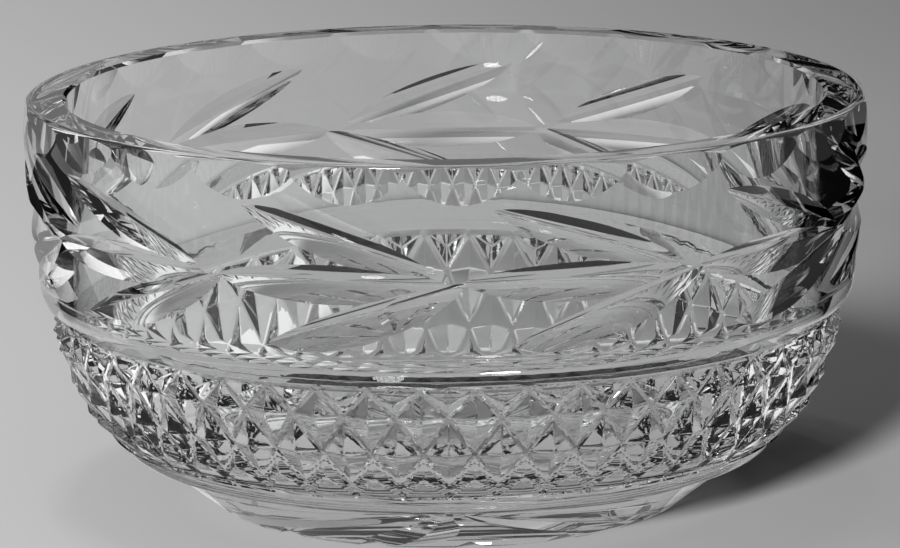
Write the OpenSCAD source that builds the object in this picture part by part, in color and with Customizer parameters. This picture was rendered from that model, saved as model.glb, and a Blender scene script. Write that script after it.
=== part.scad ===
// Cut-crystal trifle bowl, one piece of thick clear glass.
// Millimetres, +Z up, origin at the middle of the foot's flat underside.
// Azimuth 0 is the front (-Y) and azimuths grow towards +X.

/* [Body] */
// Diameter over the widest line of the rim
rim_d = 200; // [180:1:230]
// Thickness of the glass at the mouth, measured from the widest line
mouth_t = 10.3; // [9:0.1:12]
// Radius of the rim's outer lip, seen in section
lip_r = 2.6; // [2:0.1:3.2]
// Bevel along the mouth's inner edge
mouth_bevel = 0.8; // [0.4:0.1:1.2]

/* [Wall] */
// Height of the wall, from its foot over the shoulder up to the lip
wall_h = 40.9; // [38:0.1:46]
// How far the wall draws in over that height
wall_draw = 3.15; // [2.5:0.05:4]
// Height of the rounded shoulder under the wall
shoulder_h = 5; // [4:0.1:6]
// How far the rounded shoulder draws in
shoulder_draw = 1.6; // [1.2:0.1:2.2]
// Height between the groove over the diamond band and the shoulder
shoulder_gap = 3.1; // [2.8:0.1:4]

/* [Inside] */
// Thickness of the glass at the middle of the base
base_t = 17; // [14:0.5:21]
// How far the inner wall draws in between the mouth and the bend
inner_draw = 2.1; // [1:0.1:3]
// Height at which the inner wall starts to bend towards the base
bend_z = 52; // [48:0.5:56]
// Radius of the flat floor inside
floor_r = 57; // [50:0.5:62]

/* [Scallops] */
// Number of flat scallops cut round the rim
scallop_n = 25; // [20:1:30]
// How far neighbouring scallops cross, as a depth
scallop_cross = 0.05; // [0.02:0.01:0.1]
// How far the scallops' flats lean in towards the top, in degrees
scallop_lean = 7.2; // [4:0.1:10]
// Azimuth of the cusp next to the front, in degrees
scallop_phase = -5.4; // [-7:0.1:7]

/* [Leaf sprays] */
// Number of three-leaf sprays round the wall
spray_n = 11; // [8:1:11]
// Height of the point where a spray's leaves meet, over the wall's foot
hub_rise = 17; // [15:0.5:19]
// Height between neighbouring leaf ends at that point
hub_step = 1.4; // [1:0.1:2]
// Rise of the outer leaves' tips over that point, and their drop under it
leaf_rise = 15.8; // [13:0.1:17]
// Run of the middle leaf along the wall, as degrees of azimuth
middle_run = 31; // [26:0.5:31]
// Run of the outer leaves along the wall, as degrees of azimuth
outer_run = 25.7; // [22:0.1:27]
// Depth of the upper leaf's groove
upper_depth = 2.2; // [1.6:0.1:2.8]
// Depth of the middle leaf's groove
middle_depth = 2.1; // [1.6:0.1:3]
// Depth of the lower leaf's groove
lower_depth = 2.6; // [1.8:0.1:3.2]
// Widths of the upper leaf's two facets, above and below its groove
upper_facets = [3.6, 4.4]; // [2:0.1:6]
// Widths of the middle leaf's two facets, above and below its groove
middle_facets = [4.2, 5]; // [2:0.1:6]
// Widths of the lower leaf's two facets, above and below its groove
lower_facets = [2.8, 6.2]; // [2:0.1:8]

/* [Diamond band] */
// Number of diamonds round the band
diamond_n = 48; // [40:2:56]
// Height of the groove under the band
band_foot_z = 17.8; // [17:0.1:19]
// Height between the grooves over and under the band
band_h = 27.6; // [26:0.1:29]
// How far the band's points are set in from the rim, at the upper groove
band_top_inset = 5.1; // [4.8:0.1:5.6]
// How far the band's points are set in from the rim, at the lower groove
band_foot_inset = 16.8; // [16:0.1:17.5]
// Radius of the band's curve, seen in section
band_arc_r = 62.5; // [55:0.5:80]
// Depth of the grooves between diamonds
diamond_depth = 2.6; // [2:0.1:3.2]
// Depth of the grooves over and under the band
border_depth = 3; // [2.4:0.1:3.4]
// Drop from the upper groove to the highest row of groove crossings, as a share of the band's height
crossing_drop_share = 0.239; // [0.23:0.001:0.25]

/* [Bead and foot] */
// How far the middle of the bead is set in from the band's lower points
bead_inset = 8.2; // [7.6:0.1:8.8]
// How far the middle of the bead is below the band's lower groove
bead_drop = 1.8; // [1.4:0.1:2.2]
// Radius of the bead, seen in section
bead_r = 3.2; // [2.8:0.1:3.5]
// Slope of the bead's upper flank, in degrees
bead_slope = 38; // [30:1:45]
// Radius of the foot's flat underside
foot_r = 57; // [54:0.5:60]
// Bevel at the foot's edge
foot_bevel = 0.6; // [0.4:0.1:1]

/* [Star cut] */
// Number of rays under the foot
ray_n = 16; // [12:1:20]
// Azimuth of the ray next to the front, in degrees
ray_phase = 4.5; // [-11:0.5:11]
// Depth of a ray where it is deepest
ray_depth = 2.4; // [1.6:0.1:4]
// Half the width of a ray where it is deepest
ray_half_w = 4.2; // [2.5:0.1:5]
// Distance of a ray's inner end from the middle
ray_start_r = 7; // [6:0.5:12]
// Distance of a ray's deepest point from the middle
ray_deep_r = 45; // [40:0.5:50]

/* [Hidden] */
$fn = 192;
// Overrun of every cutter past the surface that it leaves through
over = 4;
// Steps along each curved stretch of the section
curve_steps = 10;
// How far the diamonds' points stay under the surface that they are cut from
point_relief = 0.1;
// How much farther than its own run the cutter of an outer leaf, a middle leaf and a ray sweeps
outer_over_share = 1.18;
middle_over_share = 1.04;
ray_over_share = 1.03;
// Height of a ray's cutter as a share of the ray's depth
ray_height_share = 1.1;
// Straightest line that a leaf's groove may follow, as a share of the rim's bend
least_bend_share = 0.02;
rim_r = rim_d / 2;
mouth_r = rim_r - mouth_t;
// Heights, from the foot up
bead_z = band_foot_z - bead_drop;
band_top_z = band_foot_z + band_h;
shoulder_z = band_top_z + shoulder_gap;
wall_foot_z = shoulder_z + shoulder_h;
hub_z = wall_foot_z + hub_rise;
lip_z = wall_foot_z + wall_h;
bowl_h = lip_z + lip_r;
// Radii, from the rim in
wall_foot_r = rim_r - wall_draw;
shoulder_r = wall_foot_r - shoulder_draw;
band_top_r = rim_r - band_top_inset;
band_foot_r = rim_r - band_foot_inset;
bead_ring_r = band_foot_r - bead_inset;
// Radius of the wall's long curve, which stands upright where the lip starts
wall_arc_r = (pow(wall_h, 2) + pow(wall_draw, 2)) / (2 * wall_draw);
// Angle at the bead's middle where its round part ends inside, and where it ends outside
bead_inner_angle = -120;
bead_outer_angle = 10;

// Middle of the circle of radius r through a and b, on the left of the way from a to b
function circle_middle(a, b, r) =
    let (m = (a + b) / 2, d = b - a, l = norm(d), h = sqrt(r * r - l * l / 4))
    m + h * [-d.y, d.x] / l;

// Points on the circle of radius r through a and b, ends included
function arc_between(a, b, r, n) =
    let (
        c = circle_middle(a, b, r),
        a0 = atan2(a.y - c.y, a.x - c.x),
        a1 = atan2(b.y - c.y, b.x - c.x)
    )
    [for (i = [0:n]) c + r * [cos(a0 + (a1 - a0) * i / n), sin(a0 + (a1 - a0) * i / n)]];

// Points on an ellipse with half axes rx and rz about c, from angle a0 to a1
function ellipse_arc(c, rx, rz, a0, a1, n) =
    [for (i = [0:n]) c + [rx * cos(a0 + (a1 - a0) * i / n), rz * sin(a0 + (a1 - a0) * i / n)]];

band_middle = circle_middle([band_foot_r, band_foot_z], [band_top_r, band_top_z], band_arc_r);
wall_middle = [rim_r - wall_arc_r, lip_z];

// Radius of the band over its points, at height z
function band_r(z) = band_middle.x + sqrt(pow(band_arc_r, 2) - pow(z - band_middle.y, 2));

// Radius of the leaf wall at height z, and how far its outward direction points down
function wall_r(z) = wall_middle.x + sqrt(pow(wall_arc_r, 2) - pow(z - wall_middle.y, 2));
function wall_lean(z) = asin((wall_middle.y - z) / wall_arc_r);

// The bowl's section, from the axis along the underside, up the outside and down the inside
function outer_section() = concat(
    [[0, 0], [foot_r - foot_bevel, 0], [foot_r, foot_bevel]],
    ellipse_arc([bead_ring_r, bead_z], bead_r, bead_r, bead_inner_angle, bead_outer_angle, curve_steps),
    arc_between([band_foot_r, band_foot_z], [band_top_r, band_top_z], band_arc_r, curve_steps),
    arc_between([shoulder_r, shoulder_z], [wall_foot_r, wall_foot_z], 2 * shoulder_h, curve_steps),
    arc_between([wall_foot_r, wall_foot_z], [rim_r, lip_z], wall_arc_r, curve_steps),
    ellipse_arc([rim_r - lip_r, lip_z], lip_r, lip_r, 0, 90, curve_steps)
);

function inner_section() =
    let (bend_r = mouth_r - inner_draw)
    concat(
        [[mouth_r + mouth_bevel, bowl_h], [mouth_r, bowl_h - mouth_bevel]],
        ellipse_arc([floor_r, bend_z], bend_r - floor_r, bend_z - base_t, 0, -90, 2 * curve_steps),
        [[0, base_t]]
    );

module body_blank() {
    rotate_extrude() polygon(concat(outer_section(), inner_section()));
}

// Distance of the scallops' flats from the axis at height z. They lean in towards the top, and
// cross each other where the lip starts.
function scallop_r(z) = rim_r * cos(180 / scallop_n) - scallop_cross - (z - lip_z) * tan(scallop_lean);

// Everything round the rim that is outside those flats
module scallop_cut() {
    low_z = lip_z - 4 * over;
    high_z = bowl_h + 2 * over;
    corner_r = scallop_r(low_z) / cos(180 / scallop_n);
    difference() {
        translate([0, 0, lip_z - 3 * over])
            cylinder(h = lip_r + 4 * over, r = rim_r + over);
        translate([0, 0, low_z])
            linear_extrude(high_z - low_z, scale = scallop_r(high_z) / scallop_r(low_z))
                polygon([for (i = [0:scallop_n - 1])
                    let (a = scallop_phase - 90 + 360 * i / scallop_n)
                    corner_r * [cos(a), sin(a)]]);
    }
}

// Millimetres along the wall for a degree of azimuth, where the sprays' leaves meet
mm_per_degree = wall_r(hub_z) * PI / 180;
// An outer leaf's half length, tilt, and the height of its middle over or under the sprays' hubs
outer_half = norm([outer_run * mm_per_degree, leaf_rise - hub_step]) / 2;
outer_tilt = atan((leaf_rise - hub_step) / (outer_run * mm_per_degree));
outer_mid = (leaf_rise + hub_step) / 2;

// A groove with two flat-looking facets that runs out at both ends. Its line follows a circle
// which is flatter than the wall, so the cut is deepest half way along.
module leaf_cut(azimuth, z, tilt, half_run, depth, facets, over_share) {
    wall_bend = pow(cos(tilt), 2) / wall_r(z) + pow(sin(tilt), 2) / wall_arc_r;
    line_bend = max(wall_bend - 2 * depth / pow(half_run, 2), least_bend_share / rim_r);
    line_r = 1 / line_bend;
    top = 2 * depth;
    sweep = over_share * asin(half_run / line_r);
    rotate([0, 0, azimuth - 90])
        translate([wall_r(z), 0, z])
            rotate([tilt, 0, 0])
                rotate([0, wall_lean(z), 0])
                    translate([-depth - line_r, 0, 0])
                        rotate([0, 0, -sweep])
                            rotate_extrude(angle = 2 * sweep)
                                polygon([
                                    [line_r, 0],
                                    [line_r + top, -top * facets[1] / depth],
                                    [line_r + top, top * facets[0] / depth]
                                ]);
}

// The leaves of all sprays, kind by kind. Leaves of one kind stay clear of each other, and the
// three leaves of a spray meet at their right-hand ends.
module upper_leaves_cut() {
    for (i = [0:spray_n - 1])
        leaf_cut(360 * i / spray_n - outer_run / 2, hub_z + outer_mid, -outer_tilt, outer_half,
            upper_depth, upper_facets, outer_over_share);
}

module middle_leaves_cut() {
    for (i = [0:spray_n - 1])
        leaf_cut(360 * i / spray_n - middle_run / 2, hub_z, 0, middle_run * mm_per_degree / 2,
            middle_depth, middle_facets, middle_over_share);
}

module lower_leaves_cut() {
    for (i = [0:spray_n - 1])
        leaf_cut(360 * i / spray_n - outer_run / 2, hub_z - outer_mid, outer_tilt, outer_half,
            lower_depth, lower_facets, outer_over_share);
}

// Everything outside the diamonds, between the grooves over and under the band.
// Columns stand half a diamond apart. Groove crossings and points alternate in every row.
module diamond_cut() {
    columns = 2 * diamond_n;
    step = 360 / columns;
    outer_r = rim_r + over;
    groove_r = function (z) band_r(z) - diamond_depth;
    border_r = function (z) band_r(z) - border_depth;
    row_h = band_h / 3;
    crossing_z = band_top_z - crossing_drop_share * band_h;
    row_z = [crossing_z, crossing_z - row_h, crossing_z - 2 * row_h];
    top_point_z = band_top_z - border_depth;
    foot_point_z = row_z[2] + border_depth;
    place = function (j, r, z) [r * cos(j * step - 90), r * sin(j * step - 90), z];
    row = function (even, odd) [for (j = [0:columns - 1]) let (p = j % 2 == 0 ? even : odd) place(j, p[0], p[1])];
    groove = function (z) [groove_r(z), z];
    point = function (z) [band_r(z) - point_relief, z];
    border_top = [border_r(band_top_z), band_top_z];
    border_foot = [border_r(band_foot_z), band_foot_z];
    top_edge = [outer_r, band_top_z + outer_r - border_top[0]];
    foot_edge = [outer_r, band_foot_z - (outer_r - border_foot[0]) * tan(bead_slope)];
    // Rings of the skin, top to bottom: each ring has its even and its odd columns
    rings = [
        row(top_edge, top_edge),
        row(border_top, border_top),
        row(point(top_point_z), point(row_z[0])),
        row(groove(row_z[0]), groove(row_z[1])),
        row(point(row_z[1]), point(foot_point_z)),
        row(groove(row_z[2]), border_foot),
        row(border_foot, border_foot),
        row(foot_edge, foot_edge)
    ];
    at = function (ring, j) ring * columns + (j + columns) % columns;
    faces = concat(
        // Upper border, then half diamonds in the even columns
        [for (j = [0:columns - 1]) each [
            [at(0, j), at(1, j), at(1, j + 1)],
            [at(0, j), at(1, j + 1), at(0, j + 1)]
        ]],
        [for (j = [0:2:columns - 1]) each [
            [at(1, j - 1), at(2, j), at(1, j)],
            [at(1, j), at(2, j), at(1, j + 1)],
            [at(1, j + 1), at(2, j), at(3, j)],
            [at(3, j), at(2, j), at(1, j - 1)]
        ]],
        // Whole diamonds in the odd columns, then in the even columns
        [for (j = [1:2:columns - 1]) each [
            [at(3, j - 1), at(2, j), at(1, j)],
            [at(1, j), at(2, j), at(3, j + 1)],
            [at(3, j + 1), at(2, j), at(3, j)],
            [at(3, j), at(2, j), at(3, j - 1)]
        ]],
        [for (j = [0:2:columns - 1]) each [
            [at(3, j - 1), at(4, j), at(3, j)],
            [at(3, j), at(4, j), at(3, j + 1)],
            [at(3, j + 1), at(4, j), at(5, j)],
            [at(5, j), at(4, j), at(3, j - 1)]
        ]],
        // Half diamonds over the lower border
        [for (j = [1:2:columns - 1]) each [
            [at(5, j - 1), at(4, j), at(3, j)],
            [at(3, j), at(4, j), at(5, j + 1)],
            [at(5, j + 1), at(4, j), at(6, j + 1)],
            [at(6, j + 1), at(4, j), at(6, j)],
            [at(6, j), at(4, j), at(6, j - 1)],
            [at(6, j - 1), at(4, j), at(5, j - 1)]
        ]],
        // Lower border and the outside
        [for (j = [0:columns - 1]) each [
            [at(6, j), at(7, j), at(7, j + 1)],
            [at(6, j), at(7, j + 1), at(6, j + 1)],
            [at(7, j), at(0, j), at(0, j + 1)],
            [at(7, j), at(0, j + 1), at(7, j + 1)]
        ]]
    );
    polyhedron(points = [for (ring = rings) each ring], faces = faces, convexity = 6);
}

// The star under the foot: each ray is a shallow wheel cut, deepest near the foot's edge
module rays_cut() {
    wheel_r = (pow(ray_deep_r - ray_start_r, 2) + pow(ray_depth, 2)) / (2 * ray_depth);
    sweep = asin((ray_deep_r - ray_start_r) / wheel_r) * ray_over_share;
    inner_r = wheel_r - ray_height_share * ray_depth;
    half_w = ray_height_share * ray_half_w;
    for (i = [0:ray_n - 1])
        rotate([0, 0, ray_phase + 360 * i / ray_n - 90])
            translate([ray_deep_r, 0, ray_depth - wheel_r])
                rotate([90, 0, 0])
                    rotate([0, 0, 90 - sweep])
                        rotate_extrude(angle = 2 * sweep)
                            polygon([[wheel_r, 0], [inner_r, half_w], [inner_r, -half_w]]);
}

// The blank with its cuts, each kind of cut taken off by itself
module glass_bowl() {
    color("lightcyan", 0.6)
        difference() {
            difference() {
                difference() {
                    difference() {
                        difference() {
                            body_blank();
                            rays_cut();
                            scallop_cut();
                        }
                        upper_leaves_cut();
                    }
                    middle_leaves_cut();
                }
                lower_leaves_cut();
            }
            diamond_cut();
        }
}

glass_bowl();
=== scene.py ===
"""Cut-crystal trifle bowl on a pale table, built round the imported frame."""
import bmesh
import bpy
from bpy.props import FloatProperty, FloatVectorProperty, IntProperty, PointerProperty
from bpy.types import Operator, Panel, PropertyGroup
from math import asin, atan, atan2, cos, hypot, pi, radians, sin, sqrt, tan
from mathutils import Matrix, Vector


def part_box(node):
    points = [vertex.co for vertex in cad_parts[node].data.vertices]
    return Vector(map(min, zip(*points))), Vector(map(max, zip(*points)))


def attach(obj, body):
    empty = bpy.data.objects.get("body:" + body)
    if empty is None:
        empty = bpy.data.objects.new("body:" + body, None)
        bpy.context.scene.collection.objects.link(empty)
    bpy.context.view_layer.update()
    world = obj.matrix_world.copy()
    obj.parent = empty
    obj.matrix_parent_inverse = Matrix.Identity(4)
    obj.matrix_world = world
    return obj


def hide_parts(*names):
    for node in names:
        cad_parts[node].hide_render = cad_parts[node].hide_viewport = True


bl_info = {
    "name": "Cut-crystal trifle bowl",
    "version": (1, 0, 0),
    "blender": (4, 5, 0),
    "location": "3D View > Sidebar > Trifle bowl",
    "description": "Builds a thick cut-glass serving bowl and a plain table to show it on",
    "category": "Mesh",
}

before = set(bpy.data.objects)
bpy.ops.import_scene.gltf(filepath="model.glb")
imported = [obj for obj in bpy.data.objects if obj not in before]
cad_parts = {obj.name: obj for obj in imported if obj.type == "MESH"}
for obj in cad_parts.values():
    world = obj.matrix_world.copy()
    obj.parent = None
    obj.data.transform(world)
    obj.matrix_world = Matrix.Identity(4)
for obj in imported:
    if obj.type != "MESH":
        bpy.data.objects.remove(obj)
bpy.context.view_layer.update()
NODE = "glass_bowl"
CAD_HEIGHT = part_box(NODE)[1].z
MM = 0.001
# Steps round the bowl, and along each curved stretch of its section
TURN_STEPS = 480
CURVE_STEPS = 12
BEAD_STEPS = 36
LIP_STEPS = 24
WALL_STEPS = 20
BEND_STEPS = 48
# Steps along a leaf's groove and along a ray
GROOVE_STEPS = 40
# Steps across a leaf's facet, and round the bottom of its groove
FACET_STEPS = 6
TIP_STEPS = 6
# Steps across a rounded edge of a diamond
EDGE_STEPS = 3
# Overrun of every cutter past the surface that it leaves through
OVER = 4 * MM
# How far the scallops' cutter reaches below the lip, and a ray's cutter below the foot
SCALLOP_REACH = 12 * MM
RAY_REACH = 0.4 * MM
# How much farther than its own run the cutter of an outer leaf and of a middle leaf sweeps
OUTER_OVER_SHARE = 1.18
MIDDLE_OVER_SHARE = 1.04
# Straightest line that a leaf's groove may follow, as a share of the rim's bend
LEAST_BEND_SHARE = 0.02
# Widths of each leaf's two facets, above and below its groove
UPPER_FACETS = (3.6 * MM, 4.4 * MM)
MIDDLE_FACETS = (4.2 * MM, 5 * MM)
LOWER_FACETS = (2.8 * MM, 6.2 * MM)
# How far the diamonds' points stay under the blank's surface
POINT_RELIEF = 0.1 * MM
# Where the bead's round part starts and ends, as angles about its middle from straight out, upwards
BEAD_INNER = radians(-120)
BEAD_OUTER = radians(10)
# Edges that bend by less than this are shaded smooth
SMOOTH_ANGLE = radians(5.5)


def length(name, text, value, low, high):
    """A size in metres, given here in millimetres."""
    return FloatProperty(name=name, description=text, default=value * MM, min=low * MM, max=high * MM,
                         subtype="DISTANCE", unit="LENGTH", precision=4)


def count(name, text, value, low, high):
    return IntProperty(name=name, description=text, default=value, min=low, max=high)


def degrees_of(name, text, value, low, high):
    return FloatProperty(name=name, description=text, default=radians(value), min=radians(low),
                         max=radians(high), subtype="ANGLE", unit="ROTATION")


def number(name, text, value, low=0.0, high=1.0):
    return FloatProperty(name=name, description=text, default=value, min=low, max=high)


def colour(name, text, value):
    return FloatVectorProperty(name=name, description=text, default=value, min=0, max=1, size=3,
                               subtype="COLOR")


class BowlForm(PropertyGroup):
    """Sizes of the bowl's blank."""
    height: FloatProperty(name="Height", description="Height from the table to the rim",
                          default=CAD_HEIGHT, min=0.08, max=0.12, subtype="DISTANCE", unit="LENGTH")
    rim_width: length("Rim diameter", "Diameter over the widest line of the rim", 200, 180, 230)
    mouth_glass: length("Glass at the mouth", "Thickness of the glass at the mouth", 10.3, 9, 12)
    lip: length("Lip radius", "Radius of the rim's rounded outer edge", 2.6, 2, 3.2)
    mouth_bevel: length("Mouth bevel", "Bevel along the mouth's inner edge", 0.8, 0.4, 1.2)
    wall_foot: length("Wall foot", "Height at which the wall rounds in over the band", 53.5, 52, 55)
    wall_draw: length("Wall draw", "How far the wall draws in between the lip and that height", 3.15, 2.5, 4)
    shoulder: length("Shoulder height", "Height of the rounded shoulder under the wall", 5, 4, 6)
    shoulder_draw: length("Shoulder draw", "How far the rounded shoulder draws in", 1.6, 1.2, 2.2)
    base: length("Base glass", "Thickness of the glass at the middle of the base", 17, 14, 21)
    inner_draw: length("Inner draw", "How far the inner wall draws in down to the bend", 2.1, 1, 3)
    bend: length("Bend height", "Height at which the inner wall bends to the base", 52, 48, 56)
    floor: length("Floor radius", "Radius of the flat floor inside", 57, 50, 62)
    bead_ring: length("Bead ring", "Radius to the middle of the bead", 75, 74.4, 75.6)
    bead_height: length("Bead height", "Height of the middle of the bead", 16, 15.6, 16.4)
    bead: length("Bead radius", "Radius of the bead, seen in section", 3.2, 2.8, 3.5)
    foot: length("Foot radius", "Radius of the foot's flat underside", 57, 54, 60)
    foot_bevel: length("Foot bevel", "Bevel at the foot's edge", 0.6, 0.4, 1)


class CutPattern(PropertyGroup):
    """Counts and sizes of the cuts."""
    scallops: count("Scallops", "Number of flat scallops round the rim", 25, 20, 30)
    scallop_cross: length("Scallop crossing", "How far scallops cross, as a depth", 0.05, 0.02, 0.1)
    scallop_lean: degrees_of("Scallop lean", "Lean of the scallops' flats, in towards the top", 7.2, 4, 10)
    scallop_turn: degrees_of("Scallop turn", "Azimuth of the cusp next to the front", -5.4, -7, 7)
    sprays: count("Sprays", "Number of three-leaf sprays round the wall", 11, 8, 11)
    hub: length("Hub height", "Height of the point where a spray's leaves meet", 70.5, 68, 73)
    hub_step: length("Hub step", "Height between leaf ends at that point", 1.4, 1, 2)
    leaf_rise: length("Leaf rise", "Rise of the outer leaves' tips over the hub", 15.8, 13, 17)
    middle_run: degrees_of("Middle leaf", "Run of the middle leaf round the wall", 31, 26, 31)
    outer_run: degrees_of("Outer leaves", "Run of the outer leaves round the wall", 25.7, 22, 27)
    upper_depth: length("Upper leaf depth", "Depth of the upper leaf's groove", 2.2, 1.6, 2.8)
    middle_depth: length("Middle leaf depth", "Depth of the middle leaf's groove", 2.1, 1.6, 3)
    lower_depth: length("Lower leaf depth", "Depth of the lower leaf's groove", 2.6, 1.8, 3.2)
    groove_round: length("Groove rounding", "Radius at the bottom of a leaf's groove", 0.4, 0.05, 0.8)
    facet_hollow: degrees_of("Facet hollow", "Turn of a leaf's facet, either way from its middle", 9, 2, 14)
    diamonds: count("Diamonds", "Number of diamonds round the band", 48, 40, 56)
    band_top: length("Band top", "Height of the groove over the band", 45.4, 44.8, 46)
    band_foot: length("Band foot", "Height of the groove under the band", 17.8, 17.4, 18.6)
    band_top_radius: length("Band radius, top", "Radius over the points, at the upper groove", 94.9, 94, 96)
    band_foot_radius: length("Band radius, foot", "Radius over the points, at the lower groove", 83.2, 82, 85)
    band_curve: length("Band curve", "Radius of the band's curve, seen in section", 62.5, 55, 80)
    diamond_depth: length("Diamond depth", "Depth of the grooves between diamonds", 2.6, 2, 3.2)
    edge_round: length("Diamond edges", "Rounding of the edges between diamond facets", 0.3, 0.1, 0.5)
    groove_bottom: length("Groove bottoms", "Rounding of the diamonds' groove bottoms", 0.9, 0.3, 1.2)
    border_depth: length("Border depth", "Depth of the grooves over and under the band", 3, 2.4, 3.4)
    crossing: length("Highest crossings", "Height of the highest groove crossings", 38.8, 38, 39.6)
    row: length("Row height", "Height between rows of crossings", 9.2, 8.6, 9.4)
    bead_slope: degrees_of("Bead slope", "Slope of the bead's upper flank", 38, 30, 45)
    rays: count("Rays", "Number of rays under the foot", 16, 12, 20)
    ray_turn: degrees_of("Ray turn", "Azimuth of the ray next to the front", 4.5, -12, 12)
    ray_depth: length("Ray depth", "Depth of a ray where it is deepest", 2.4, 1.6, 4)
    ray_half: length("Ray half width", "Half the width of a ray where it is deepest", 4.2, 2.5, 5)
    ray_start: length("Ray start", "Distance of a ray's inner end from the middle", 7, 6, 12)
    ray_deep: length("Ray deep point", "Distance of a ray's deepest point", 45, 40, 50)


class CrystalFinish(PropertyGroup):
    """Look of the glass."""
    tint: colour("Tint", "Colour of the light that goes through the glass", (0.985, 0.99, 0.99))
    ior: number("Refractive index", "How strongly the glass bends light", 1.53, 1.4, 1.7)
    rough: number("Roughness", "Roughness of the polished surface", 0.0)
    dark_from: length("Shadow from", "Height from which the cut band holds back a shadow's light", 20, 0, 60)
    dark_to: length("Shadow to", "Height up to which the cut band holds back a shadow's light", 45, 0, 60)


class StageLook(PropertyGroup):
    """Table, lamps and the light of the room."""
    # The table's two tones are painted shade: its colour is lit on the left and shaded on the right
    table_lit_left: colour("Table, left", "Colour of the table on the left", (0.6, 0.6, 0.6))
    table_shaded_right: colour("Table, right", "Colour of the table on the right", (0.24, 0.24, 0.24))
    lamp_power: number("Lamp power", "Power of the lamp overhead, in watts", 3.0, 0.0, 200.0)
    window_power: number("Window power", "Power of the window at the front left, in watts", 650.0, 0.0, 900.0)
    sky_light: number("Soft light", "Strength of the soft light from all round", 0.13, 0.0, 2.0)
    room_light: number("Room light", "Brightness of the light room that the glass sees", 0.37, 0.0, 2.0)
    gathered_light: number("Gathered light", "Glow of the pale card under the glass", 0.15, 0.0, 1.0)


def circle_middle(a, b, r):
    """Middle of the circle of radius r through a and b, on the left of the way from a to b."""
    dx, dz = b[0] - a[0], b[1] - a[1]
    run = hypot(dx, dz)
    h = sqrt(r * r - run * run / 4)
    return (a[0] + b[0]) / 2 - dz / run * h, (a[1] + b[1]) / 2 + dx / run * h


def arc(c, rx, rz, start, end, steps):
    """Points on an ellipse about c, ends included."""
    turn = (end - start) / steps
    return [(c[0] + rx * cos(start + turn * i), c[1] + rz * sin(start + turn * i)) for i in range(steps + 1)]


def arc_between(a, b, r, steps):
    """Points on the circle of radius r through a and b, ends included."""
    c = circle_middle(a, b, r)
    return arc(c, r, r, atan2(a[1] - c[1], a[0] - c[0]), atan2(b[1] - c[1], b[0] - c[0]), steps)


class Outline:
    """The bowl's main curves, worked out from its sizes."""

    def __init__(self, form, cuts):
        self.form, self.cuts = form, cuts
        self.rim = form.rim_width / 2
        self.mouth = self.rim - form.mouth_glass
        # The wall is one long curve that stands upright where the lip starts
        self.lip_z = form.height - form.lip
        rise = self.lip_z - form.wall_foot
        self.wall_curve = (rise ** 2 + form.wall_draw ** 2) / (2 * form.wall_draw)
        self.wall_foot = self.rim - form.wall_draw
        self.band_c = circle_middle((cuts.band_foot_radius, cuts.band_foot),
                                    (cuts.band_top_radius, cuts.band_top), cuts.band_curve)

    def wall_r(self, z):
        return self.rim - self.wall_curve + sqrt(self.wall_curve ** 2 - (z - self.lip_z) ** 2)

    def wall_lean(self, z):
        return asin((self.lip_z - z) / self.wall_curve)

    def band_r(self, z):
        return self.band_c[0] + sqrt(self.cuts.band_curve ** 2 - (z - self.band_c[1]) ** 2)

    def section(self):
        """Points from the axis along the underside, up the outside and down the inside."""
        f, c = self.form, self.cuts
        shoulder_low = (self.wall_foot - f.shoulder_draw, f.wall_foot - f.shoulder)
        bend = self.mouth - f.inner_draw
        points = [(0, 0), (f.foot - f.foot_bevel, 0), (f.foot, f.foot_bevel)]
        points += arc((f.bead_ring, f.bead_height), f.bead, f.bead, BEAD_INNER, BEAD_OUTER, BEAD_STEPS)
        points += arc_between((c.band_foot_radius, c.band_foot), (c.band_top_radius, c.band_top),
                              c.band_curve, CURVE_STEPS)
        points += arc_between(shoulder_low, (self.wall_foot, f.wall_foot), 2 * f.shoulder, CURVE_STEPS)
        points += arc_between((self.wall_foot, f.wall_foot), (self.rim, self.lip_z),
                              self.wall_curve, WALL_STEPS)[1:]
        points += arc((self.rim - f.lip, self.lip_z), f.lip, f.lip, 0, pi / 2, LIP_STEPS)[1:]
        points += [(self.mouth + f.mouth_bevel, f.height), (self.mouth, f.height - f.mouth_bevel)]
        points += arc((f.floor, f.bend), bend - f.floor, f.bend - f.base, 0, -pi / 2, BEND_STEPS)
        points += [(0, f.base)]
        return points


def new_object(name, points, faces):
    mesh = bpy.data.meshes.new(name)
    mesh.from_pydata([tuple(p) for p in points], [], faces)
    mesh.update()
    made = bpy.data.objects.new(name, mesh)
    bpy.context.scene.collection.objects.link(made)
    return made


def turned(name, section, steps):
    """A closed solid turned from a section whose two ends lie on the axis."""
    points, faces = [(0, 0, section[0][1])], []
    for r, z in section[1:-1]:
        points += [(r * cos(2 * pi * j / steps), r * sin(2 * pi * j / steps), z) for j in range(steps)]
    points.append((0, 0, section[-1][1]))
    last = len(points) - 1
    rings = len(section) - 2
    for j in range(steps):
        k = (j + 1) % steps
        faces.append((0, 1 + k, 1 + j))
        for i in range(rings - 1):
            a = 1 + i * steps
            faces.append((a + j, a + k, a + steps + k, a + steps + j))
        a = 1 + (rings - 1) * steps
        faces.append((a + j, a + k, last))
    return new_object(name, points, faces)


def prism_rows(rows):
    """Points and faces of a closed skin over rows of equal length, capped at both ends."""
    n = len(rows[0])
    points = [p for row in rows for p in row]
    faces = [tuple(reversed(range(n)))]
    for i in range(len(rows) - 1):
        for j in range(n):
            k = (j + 1) % n
            faces.append((i * n + j, i * n + k, (i + 1) * n + k, (i + 1) * n + j))
    faces.append(tuple(range((len(rows) - 1) * n, len(rows) * n)))
    return points, faces


def gathered(name, skins):
    """One object from several closed skins."""
    points, faces = [], []
    for p, f in skins:
        base = len(points)
        points += p
        faces += [tuple(base + i for i in face) for face in f]
    made = new_object(name, points, faces)
    outward(made)
    return made


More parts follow.
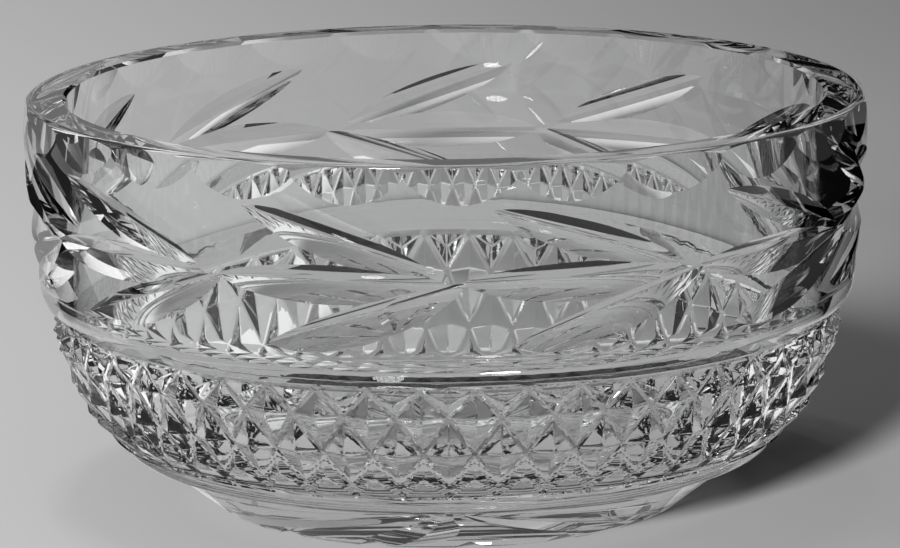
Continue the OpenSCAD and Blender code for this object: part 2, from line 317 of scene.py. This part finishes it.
def outward(obj):
    bm = bmesh.new()
    bm.from_mesh(obj.data)
    bmesh.ops.recalc_face_normals(bm, faces=bm.faces)
    bm.to_mesh(obj.data)
    bm.free()


def scallop_cutter(shape):
    """Everything round the rim outside its flats, which lean in a little towards the top."""
    f, c = shape.form, shape.cuts
    half = pi / c.scallops
    cusp_r = shape.rim * cos(half) - c.scallop_cross
    levels = (shape.lip_z - SCALLOP_REACH, f.height + OVER)
    outer = (shape.rim + OVER) / cos(half)
    rings = []
    for z, inside in ((levels[0], True), (levels[1], True), (levels[1], False), (levels[0], False)):
        r = (cusp_r - tan(c.scallop_lean) * (z - shape.lip_z)) / cos(half) if inside else outer
        turn = c.scallop_turn - pi / 2
        rings.append([(r * cos(turn + 2 * half * i), r * sin(turn + 2 * half * i), z)
                      for i in range(c.scallops)])
    n = c.scallops
    faces = []
    for i in range(len(rings)):
        for j in range(n):
            k = (j + 1) % n
            a, b = i * n, (i + 1) % len(rings) * n
            faces.append((a + j, a + k, b + k, b + j))
    return gathered("scallop_cutter", [([p for ring in rings for p in ring], faces)])


def groove_profile(depth, facets, tip, hollow):
    """A groove of two hollow facets with a round bottom: pairs of (height over its tip, place across)."""
    flanks = []
    for width, side in ((facets[1], -1), (facets[0], 1)):
        chord = atan2(depth, width)
        run = hypot(depth, width)
        bend = run / (2 * sin(hollow))
        points = []
        for i in range(1, FACET_STEPS + 1):
            slope = chord - hollow + 2 * hollow * i / FACET_STEPS
            start = chord - hollow
            points.append((bend * (cos(start) - cos(slope)), side * bend * (sin(slope) - sin(start))))
        end = chord + hollow
        points.append((depth + depth, points[-1][1] + side * depth / tan(end)))
        flanks.append((chord - hollow, points))
    (below, low), (above, high) = flanks
    lean = (above - below) / 2
    centre = tip / cos((above + below) / 2)
    bottom = [(centre * cos(lean) - tip * cos(-below + (below + above) * i / TIP_STEPS),
               -centre * sin(lean) + tip * sin(-below + (below + above) * i / TIP_STEPS))
              for i in range(TIP_STEPS + 1)]
    return low[::-1] + bottom + high


def leaf_skin(shape, azimuth, z, tilt, half_run, depth, facets, over_share):
    """A wheel cut with two facets, deepest half way along, that runs out at both ends."""
    bend = cos(tilt) ** 2 / shape.wall_r(z) + sin(tilt) ** 2 / shape.wall_curve
    line_bend = max(bend - 2 * depth / half_run ** 2, LEAST_BEND_SHARE / shape.rim)
    line_r = 1 / line_bend
    sweep = over_share * asin(half_run / line_r)
    profile = groove_profile(depth, facets, shape.cuts.groove_round, shape.cuts.facet_hollow)
    place = (Matrix.Rotation(azimuth - pi / 2, 4, "Z") @ Matrix.Translation((shape.wall_r(z), 0, z))
             @ Matrix.Rotation(tilt, 4, "X") @ Matrix.Rotation(shape.wall_lean(z), 4, "Y")
             @ Matrix.Translation((-depth - line_r, 0, 0)))
    rows = []
    for i in range(GROOVE_STEPS + 1):
        a = sweep * (2 * i / GROOVE_STEPS - 1)
        rows.append([place @ Vector(((line_r + up) * cos(a), (line_r + up) * sin(a), across))
                     for up, across in profile])
    return prism_rows(rows)


def leaf_cutters(shape):
    """The upper, middle and lower leaves of all sprays, as three cutters."""
    c = shape.cuts
    per_turn = shape.wall_r(c.hub)
    rise = c.leaf_rise - c.hub_step
    outer_half = hypot(c.outer_run * per_turn, rise) / 2
    tilt = atan(rise / (c.outer_run * per_turn))
    mid = (c.leaf_rise + c.hub_step) / 2
    kinds = {
        "upper_leaf_cutter": (c.outer_run, c.hub + mid, -tilt, outer_half, c.upper_depth,
                              UPPER_FACETS, OUTER_OVER_SHARE),
        "middle_leaf_cutter": (c.middle_run, c.hub, 0.0, c.middle_run * per_turn / 2, c.middle_depth,
                               MIDDLE_FACETS, MIDDLE_OVER_SHARE),
        "lower_leaf_cutter": (c.outer_run, c.hub - mid, tilt, outer_half, c.lower_depth,
                              LOWER_FACETS, OUTER_OVER_SHARE),
    }
    made = []
    for name, (run, z, lean, half, depth, facets, over) in kinds.items():
        made.append(gathered(name, [leaf_skin(shape, 2 * pi * i / c.sprays - run / 2, z, lean, half, depth,
                                              facets, over) for i in range(c.sprays)]))
    return made


def diamond_cutter(shape):
    """Everything outside the band's diamonds, between the grooves over and under it."""
    c = shape.cuts
    columns = 2 * c.diamonds
    step = 2 * pi / columns
    outer = shape.rim + OVER
    rows = [c.crossing, c.crossing - c.row, c.crossing - 2 * c.row]

    def groove(z):
        return shape.band_r(z) - c.diamond_depth, z

    def point(z):
        return shape.band_r(z) - POINT_RELIEF, z

    top = (shape.band_r(c.band_top) - c.border_depth, c.band_top)
    foot = (shape.band_r(c.band_foot) - c.border_depth, c.band_foot)
    top_edge = (outer, c.band_top + outer - top[0])
    foot_edge = (outer, c.band_foot - (outer - foot[0]) * tan(c.bead_slope))
    rings = [(top_edge, top_edge), (top, top), (point(c.band_top - c.border_depth), point(rows[0])),
             (groove(rows[0]), groove(rows[1])), (point(rows[1]), point(rows[2] + c.border_depth)),
             (groove(rows[2]), foot), (foot, foot), (foot_edge, foot_edge)]
    points = [(pair[j % 2][0] * cos(j * step - pi / 2), pair[j % 2][0] * sin(j * step - pi / 2),
               pair[j % 2][1]) for pair in rings for j in range(columns)]

    def at(ring, j):
        return ring * columns + j % columns

    faces = []
    for j in range(columns):
        faces += [(at(0, j), at(1, j), at(1, j + 1), at(0, j + 1)),
                  (at(6, j), at(7, j), at(7, j + 1), at(6, j + 1)),
                  (at(7, j), at(0, j), at(0, j + 1), at(7, j + 1))]
    for j in range(0, columns, 2):
        faces += [(at(1, j - 1), at(2, j), at(1, j)), (at(1, j), at(2, j), at(1, j + 1)),
                  (at(1, j + 1), at(2, j), at(3, j)), (at(3, j), at(2, j), at(1, j - 1)),
                  (at(3, j - 1), at(4, j), at(3, j)), (at(3, j), at(4, j), at(3, j + 1)),
                  (at(3, j + 1), at(4, j), at(5, j)), (at(5, j), at(4, j), at(3, j - 1))]
    for j in range(1, columns, 2):
        faces += [(at(3, j - 1), at(2, j), at(1, j)), (at(1, j), at(2, j), at(3, j + 1)),
                  (at(3, j + 1), at(2, j), at(3, j)), (at(3, j), at(2, j), at(3, j - 1)),
                  (at(5, j - 1), at(4, j), at(3, j)), (at(3, j), at(4, j), at(5, j + 1)),
                  (at(5, j + 1), at(4, j), at(6, j + 1)), (at(6, j + 1), at(4, j), at(6, j)),
                  (at(6, j), at(4, j), at(6, j - 1)), (at(6, j - 1), at(4, j), at(5, j - 1))]
    made = new_object("diamond_cutter", points, faces)
    outward(made)
    # The polished edges of the diamonds are a little rounded, and the bottoms of their grooves more so
    mesh = made.data
    rounding = mesh.attributes.new("bevel_weight_edge", "FLOAT", "EDGE")
    for edge in mesh.edges:
        levels = [v // columns for v in edge.vertices]
        if all(1 <= level <= 6 for level in levels):
            rounding.data[edge.index].value = c.edge_round / c.groove_bottom if {2, 4} & set(levels) else 1
    soft = made.modifiers.new("rounded", "BEVEL")
    soft.limit_method = "WEIGHT"
    soft.width = c.groove_bottom
    soft.segments = EDGE_STEPS
    graph = bpy.context.evaluated_depsgraph_get()
    made.data = bpy.data.meshes.new_from_object(made.evaluated_get(graph), depsgraph=graph)
    made.modifiers.clear()
    bpy.data.meshes.remove(mesh)
    return made


def ray_cutter(shape):
    """The star under the foot: shallow wheel cuts, deepest near the foot's edge."""
    c = shape.cuts
    run = c.ray_deep - c.ray_start
    wheel = (run ** 2 + c.ray_depth ** 2) / (2 * c.ray_depth)
    skins = []
    for i in range(c.rays):
        turn = c.ray_turn + 2 * pi * i / c.rays - pi / 2
        rows = []
        for k in range(GROOVE_STEPS + 1):
            r = c.ray_start + 2 * run * k / GROOVE_STEPS
            top = c.ray_depth - wheel + sqrt(wheel ** 2 - (r - c.ray_deep) ** 2)
            half = (top + RAY_REACH) * c.ray_half / c.ray_depth
            rows.append([Vector((r * cos(turn) - w * sin(turn), r * sin(turn) + w * cos(turn), z))
                         for w, z in ((0, top), (half, -RAY_REACH), (-half, -RAY_REACH))])
        skins.append(prism_rows(rows))
    return gathered("ray_cutter", skins)


def cut_away(body, cutter):
    """Takes a cutter off the body for good, and removes the cutter."""
    step = body.modifiers.new("cut", "BOOLEAN")
    step.operation = "DIFFERENCE"
    step.solver = "MANIFOLD"
    step.object = cutter
    graph = bpy.context.evaluated_depsgraph_get()
    mesh = bpy.data.meshes.new_from_object(body.evaluated_get(graph), depsgraph=graph)
    if len(mesh.polygons) <= len(body.data.polygons) // 2:
        raise RuntimeError(f"{cutter.name} left nothing of the bowl")
    body.modifiers.clear()
    old, body.data = body.data, mesh
    bpy.data.meshes.remove(old)
    old = cutter.data
    bpy.data.objects.remove(cutter)
    bpy.data.meshes.remove(old)


def reckon(tree, operation, *values):
    """Output of a Math node on the values, which are numbers or other outputs."""
    node = tree.nodes.new("ShaderNodeMath")
    node.operation = operation
    for socket, value in zip(node.inputs, values):
        if isinstance(value, bpy.types.NodeSocket):
            tree.links.new(value, socket)
        else:
            socket.default_value = value
    return node.outputs["Value"]


def rising(tree, value, low, high):
    """0 below low, 1 above high, smooth between them."""
    node = tree.nodes.new("ShaderNodeMapRange")
    node.interpolation_type = "SMOOTHSTEP"
    node.inputs["From Min"].default_value = low
    node.inputs["From Max"].default_value = high
    tree.links.new(value, node.inputs["Value"])
    return node.outputs["Result"]


# Share of a shadow's light that passes a face met squarely, and one met at a slant
PASSED_SQUARE = 0.95
PASSED_SLANT = 0.4
# Layer Weight facing up to which a face counts as met squarely, and from which as met at a slant
FACING_SQUARE = 0.1
FACING_SLANT = 0.75
# Share of a shadow's light that the cut band holds back, and the height over which that sets in
BAND_HOLDS = 0.85
BAND_BLUR = 4 * MM


def crystal(look):
    """Clear glass, with a shadow of its own, as light bent by the glass isn't traced to the table."""
    made = bpy.data.materials.new("clear_crystal")
    made.use_nodes = True
    tree = made.node_tree
    nodes, links = tree.nodes, tree.links
    shader = nodes["Principled BSDF"]
    shader.inputs["Base Color"].default_value = (*look.tint, 1)
    shader.inputs["Roughness"].default_value = look.rough
    shader.inputs["IOR"].default_value = look.ior
    shader.inputs["Transmission Weight"].default_value = 1
    # For shadows, faces that the light meets at a slant turn it away, and square ones let it through
    slant = nodes.new("ShaderNodeLayerWeight")
    slant.inputs["Blend"].default_value = 0.5
    passed = nodes.new("ShaderNodeMapRange")
    passed.inputs["From Min"].default_value = FACING_SQUARE
    passed.inputs["From Max"].default_value = FACING_SLANT
    passed.inputs["To Min"].default_value = PASSED_SQUARE
    passed.inputs["To Max"].default_value = PASSED_SLANT
    links.new(slant.outputs["Facing"], passed.inputs["Value"])
    place = nodes.new("ShaderNodeTexCoord")
    parts = nodes.new("ShaderNodeSeparateXYZ")
    links.new(place.outputs["Object"], parts.inputs["Vector"])
    over_foot = rising(tree, parts.outputs["Z"], look.dark_from - BAND_BLUR, look.dark_from)
    over_band = rising(tree, parts.outputs["Z"], look.dark_to, look.dark_to + BAND_BLUR)
    kept = reckon(tree, "MULTIPLY_ADD", reckon(tree, "SUBTRACT", over_band, over_foot), BAND_HOLDS, 1.0)
    clear = nodes.new("ShaderNodeBsdfTransparent")
    links.new(reckon(tree, "MULTIPLY", passed.outputs["Result"], kept), clear.inputs["Color"])
    path = nodes.new("ShaderNodeLightPath")
    mix = nodes.new("ShaderNodeMixShader")
    links.new(path.outputs["Is Shadow Ray"], mix.inputs["Fac"])
    links.new(shader.outputs["BSDF"], mix.inputs[1])
    links.new(clear.outputs["BSDF"], mix.inputs[2])
    links.new(mix.outputs["Shader"], nodes["Material Output"].inputs["Surface"])
    return made


class TRIFLE_OT_bowl(Operator):
    """Build the crystal bowl with all its cuts"""
    bl_idname = "trifle.bowl"
    bl_label = "Crystal bowl"

    def execute(self, context):
        scene = context.scene
        shape = Outline(scene.bowl_form, scene.cut_pattern)
        body = turned("crystal_bowl", shape.section(), TURN_STEPS)
        outward(body)
        cut_away(body, scallop_cutter(shape))
        for cutter in leaf_cutters(shape):
            cut_away(body, cutter)
        cut_away(body, diamond_cutter(shape))
        cut_away(body, ray_cutter(shape))
        mesh = body.data
        mesh.polygons.foreach_set("use_smooth", [True] * len(mesh.polygons))
        mesh.set_sharp_from_angle(angle=SMOOTH_ANGLE)
        mesh.materials.clear()
        mesh.materials.append(crystal(scene.crystal_finish))
        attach(body, "root")
        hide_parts(NODE)
        return {"FINISHED"}


# The photograph's viewpoint, worked out from the rim, the base ring and the pattern
VIEW_ELEVATION = radians(9.77)
VIEW_ROLL = radians(-0.665)
VIEW_DISTANCE = 1.188
FOCAL_PIXELS = 5010
PICTURE = (900, 548)
# Place in the picture of the middle of the mouth
MOUTH_PIXEL = (444.8, 89.2)


def photograph_camera(height):
    data = bpy.data.cameras.new("photograph")
    camera = bpy.data.objects.new("photograph", data)
    bpy.context.scene.collection.objects.link(camera)
    forward = Vector((0, cos(VIEW_ELEVATION), -sin(VIEW_ELEVATION)))
    up = Vector((0, sin(VIEW_ELEVATION), cos(VIEW_ELEVATION)))
    right = Vector((1, 0, 0))
    across = right * cos(VIEW_ROLL) + up * sin(VIEW_ROLL)
    upright = up * cos(VIEW_ROLL) - right * sin(VIEW_ROLL)
    place = Vector((0, 0, height)) - forward * VIEW_DISTANCE
    axes = Matrix((across, upright, -forward)).transposed().to_4x4()
    camera.matrix_world = Matrix.Translation(place) @ axes
    data.sensor_fit = "HORIZONTAL"
    data.lens = FOCAL_PIXELS / PICTURE[0] * data.sensor_width
    data.shift_x = (PICTURE[0] / 2 - MOUTH_PIXEL[0]) / PICTURE[0]
    data.shift_y = (MOUTH_PIXEL[1] - PICTURE[1] / 2) / PICTURE[0]
    data.clip_start, data.clip_end = 0.05, 30
    bpy.context.scene.camera = camera


def area_lamp(name, place, size, power):
    """A round lamp that aims at the foot of the bowl."""
    data = bpy.data.lights.new(name, "AREA")
    data.energy = power
    data.shape = "DISK"
    data.size = size
    lamp = bpy.data.objects.new(name, data)
    bpy.context.scene.collection.objects.link(lamp)
    lamp.location = place
    lamp.rotation_euler = (-Vector(place)).to_track_quat("-Z", "Y").to_euler()
    return lamp


# Fields that the glass sees round it: azimuth from and to, elevation from and to (degrees, azimuth 0
# behind the bowl and growing to the right), and brightness. A later field covers an earlier one. They
# stand for a dim corner, a pale wall, a bright window in it, a dark cupboard and a dark shelf edge.
FIELDS = (
    (-52, -33, -3, 13, 0.04),
    (-80, -60, -4, 16, 0.55),
    (-72, -66, 3, 12, 1.6),
    (36, 66, -6, 16, 0.01),
    (-20, -10, 18.2, 19.6, 0.02),
)
FIELD_BLUR = radians(1.2)
# Cards near the bowl that only the glass sees: corners and tone. Corners without a height are on the table.
CARDS = {
    "dark_card_right": ([(0.15, -0.03), (0.95, -0.03), (0.95, 0.62), (0.4, 0.62), (0.33, 0.42),
                         (0.16, 0.34)], 0.003),
    "dark_card_left": ([(-0.95, 0.28), (-0.42, 0.28), (-0.42, 0.6), (-0.95, 0.6)], 0.01),
    "dim_card_left": ([(-0.42, -0.02), (-0.2, -0.02), (-0.2, 0.34), (-0.42, 0.34)], 0.015),
    "white_card_left": ([(-0.2, -0.05), (-0.12, -0.05), (-0.12, 0.1), (-0.2, 0.1)], 0.95),
    # Painted light: a card under the bowl, paler than the table, stands for the light that the glass gathers
    # there
    "painted_caustic_card": ([(-0.08, -0.015), (0.02, -0.03), (0.12, -0.02), (0.145, 0.0), (0.14, 0.1),
                         (0.14, 0.26), (-0.05, 0.26), (-0.09, 0.1)], 0.9),
    "dark_bar_back": ([(-0.06, 0.2, 0.103), (0.17, 0.2, 0.118), (0.17, 0.2, 0.15), (0.0, 0.2, 0.149),
                       (-0.05, 0.2, 0.14)], 0.003),
}
# The card whose pale tone and glow are painted light, in place of the light that real glass gathers on the
# table in its own shadow
GLOWING_CARD = "painted_caustic_card"
GLOW_MIDDLE = (0.025, 0.055, 0)
GLOW_REACH = 0.12
# Half the table's width, and how far below the foot the table and the cards on it lie
TABLE_HALF = 3.0
TABLE_DROP = 0.05 * MM
CARD_DROP = 0.02 * MM
# How far to the left and right of the bowl's axis the table reaches its two tones, a painted shade that
# darkens it towards the right
TABLE_SHADE_FADE = 0.35
# Places and widths of the two lamps, which aim at the foot
CEILING_PLACE, CEILING_WIDTH = (-0.2, 0.05, 1.6), 0.14
WINDOW_PLACE, WINDOW_WIDTH = (-1.44, -4.52, 1.6), 0.8
# Faces that one ray of light may pass
LIGHT_BOUNCES = 24


def studio_world(look):
    """Plain light for the table and the camera. The glass sees a light room with the fields in it."""
    world = bpy.data.worlds.new("studio")
    world.use_nodes = True
    tree = world.node_tree
    nodes, links = tree.nodes, tree.links
    place = nodes.new("ShaderNodeTexCoord")
    parts = nodes.new("ShaderNodeSeparateXYZ")
    links.new(place.outputs["Generated"], parts.inputs["Vector"])
    azimuth = reckon(tree, "ARCTAN2", parts.outputs["X"], parts.outputs["Y"])
    elevation = reckon(tree, "ARCSINE", parts.outputs["Z"])
    light = look.room_light
    for west, east, low, high, tone in FIELDS:
        inside = 1.0
        for value, start, end in ((azimuth, west, east), (elevation, low, high)):
            start, end = radians(start), radians(end)
            inside = reckon(tree, "MULTIPLY", inside, rising(tree, value, start - FIELD_BLUR, start))
            past = rising(tree, value, end, end + FIELD_BLUR)
            inside = reckon(tree, "MULTIPLY", inside, reckon(tree, "SUBTRACT", 1.0, past))
        rest = reckon(tree, "MULTIPLY", light, reckon(tree, "SUBTRACT", 1.0, inside))
        light = reckon(tree, "MULTIPLY_ADD", inside, tone, rest)
    path = nodes.new("ShaderNodeLightPath")
    through = reckon(tree, "MAXIMUM", path.outputs["Is Transmission Ray"], path.outputs["Is Glossy Ray"])
    plain = reckon(tree, "MULTIPLY", look.sky_light, reckon(tree, "SUBTRACT", 1.0, through))
    strength = reckon(tree, "MULTIPLY_ADD", through, light, plain)
    nodes["Background"].inputs["Color"].default_value = (1, 1, 1, 1)
    links.new(strength, nodes["Background"].inputs["Strength"])
    return world


def table_paint_with_shade(look):
    """Matt pale table with painted shade: its colour gets a little darker from left to right, standing in for
    light that falls off away from the left.
    """
    made = bpy.data.materials.new("pale_table")
    made.use_nodes = True
    nodes, links = made.node_tree.nodes, made.node_tree.links
    place = nodes.new("ShaderNodeTexCoord")
    parts = nodes.new("ShaderNodeSeparateXYZ")
    links.new(place.outputs["Object"], parts.inputs["Vector"])
    shade = nodes.new("ShaderNodeMix")
    shade.data_type = "RGBA"
    # Painted shade: the table's colour darkens from left to right
    links.new(rising(made.node_tree, parts.outputs["X"], -TABLE_SHADE_FADE, TABLE_SHADE_FADE), shade.inputs["Factor"])
    shade.inputs["A"].default_value = (*look.table_lit_left, 1)
    shade.inputs["B"].default_value = (*look.table_shaded_right, 1)
    shader = nodes["Principled BSDF"]
    links.new(shade.outputs["Result"], shader.inputs["Base Color"])
    shader.inputs["Roughness"].default_value = 0.8
    shader.inputs["Specular IOR Level"].default_value = 0
    return made


def card(name, corners, tone):
    """A card that only the glass sees, and its material."""
    points = [(*corner, -CARD_DROP) if len(corner) == 2 else corner for corner in corners]
    made = new_object(name, points, [tuple(range(len(points)))])
    made.visible_camera = False
    made.visible_diffuse = False
    made.visible_shadow = False
    paint = bpy.data.materials.new(name)
    paint.use_nodes = True
    shader = paint.node_tree.nodes["Principled BSDF"]
    shader.inputs["Base Color"].default_value = (tone, tone, tone, 1)
    shader.inputs["Roughness"].default_value = 1
    shader.inputs["Specular IOR Level"].default_value = 0
    made.data.materials.append(paint)
    return paint


def glow_softly(paint, strength):
    """Lets a card's material glow round GLOW_MIDDLE."""
    tree = paint.node_tree
    shader = tree.nodes["Principled BSDF"]
    place = tree.nodes.new("ShaderNodeTexCoord")
    middle = tree.nodes.new("ShaderNodeVectorMath")
    middle.operation = "DISTANCE"
    middle.inputs[1].default_value = GLOW_MIDDLE
    tree.links.new(place.outputs["Object"], middle.inputs[0])
    faded = rising(tree, middle.outputs["Value"], GLOW_REACH / 2, GLOW_REACH)
    glow = reckon(tree, "MULTIPLY", strength, reckon(tree, "SUBTRACT", 1.0, faded))
    tree.links.new(glow, shader.inputs["Emission Strength"])
    shader.inputs["Emission Color"].default_value = (1, 1, 1, 1)


class TRIFLE_OT_stage(Operator):
    """Set the table, the cards, the lamps, the light of the room and the camera"""
    bl_idname = "trifle.stage"
    bl_label = "Table and light"

    def execute(self, context):
        scene = context.scene
        look = scene.stage_look
        table = new_object("table", [(x * TABLE_HALF, y * TABLE_HALF, -TABLE_DROP)
                                     for x, y in ((-1, -1), (1, -1), (1, 1), (-1, 1))], [(0, 1, 2, 3)])
        table.data.materials.append(table_paint_with_shade(look))
        for name, (corners, tone) in CARDS.items():
            paint = card(name, corners, tone)
            if name == GLOWING_CARD:
                glow_softly(paint, look.gathered_light)
        scene.world = studio_world(look)
        area_lamp("ceiling_lamp", CEILING_PLACE, CEILING_WIDTH, look.lamp_power)
        window = area_lamp("window", WINDOW_PLACE, WINDOW_WIDTH, look.window_power)
        window.visible_glossy = False
        photograph_camera(scene.bowl_form.height)
        scene.view_settings.view_transform = "Standard"
        scene.cycles.caustics_refractive = False
        scene.cycles.caustics_reflective = False
        scene.cycles.max_bounces = LIGHT_BOUNCES
        scene.cycles.transmission_bounces = LIGHT_BOUNCES
        return {"FINISHED"}


class TRIFLE_PT_sidebar(Panel):
    """Sizes, finish and stage of the bowl"""
    bl_idname = "TRIFLE_PT_sidebar"
    bl_label = "Trifle bowl"
    bl_space_type = "VIEW_3D"
    bl_region_type = "UI"
    bl_category = "Trifle bowl"

    def draw(self, context):
        layout = self.layout
        for group in (context.scene.bowl_form, context.scene.cut_pattern, context.scene.crystal_finish,
                      context.scene.stage_look):
            column = layout.column(align=True)
            for name in group.__annotations__:
                column.prop(group, name)
        layout.operator("trifle.bowl")
        layout.operator("trifle.stage")


CLASSES = (BowlForm, CutPattern, CrystalFinish, StageLook, TRIFLE_OT_bowl, TRIFLE_OT_stage,
           TRIFLE_PT_sidebar)
GROUPS = {"bowl_form": BowlForm, "cut_pattern": CutPattern, "crystal_finish": CrystalFinish,
          "stage_look": StageLook}


def register():
    for made in CLASSES:
        bpy.utils.register_class(made)
    for name, group in GROUPS.items():
        setattr(bpy.types.Scene, name, PointerProperty(type=group))


def unregister():
    for name in GROUPS:
        delattr(bpy.types.Scene, name)
    for made in reversed(CLASSES):
        bpy.utils.unregister_class(made)


def main():
    register()
    bpy.ops.trifle.stage()
    bpy.ops.trifle.bowl()


if __name__ == "__main__":
    main()
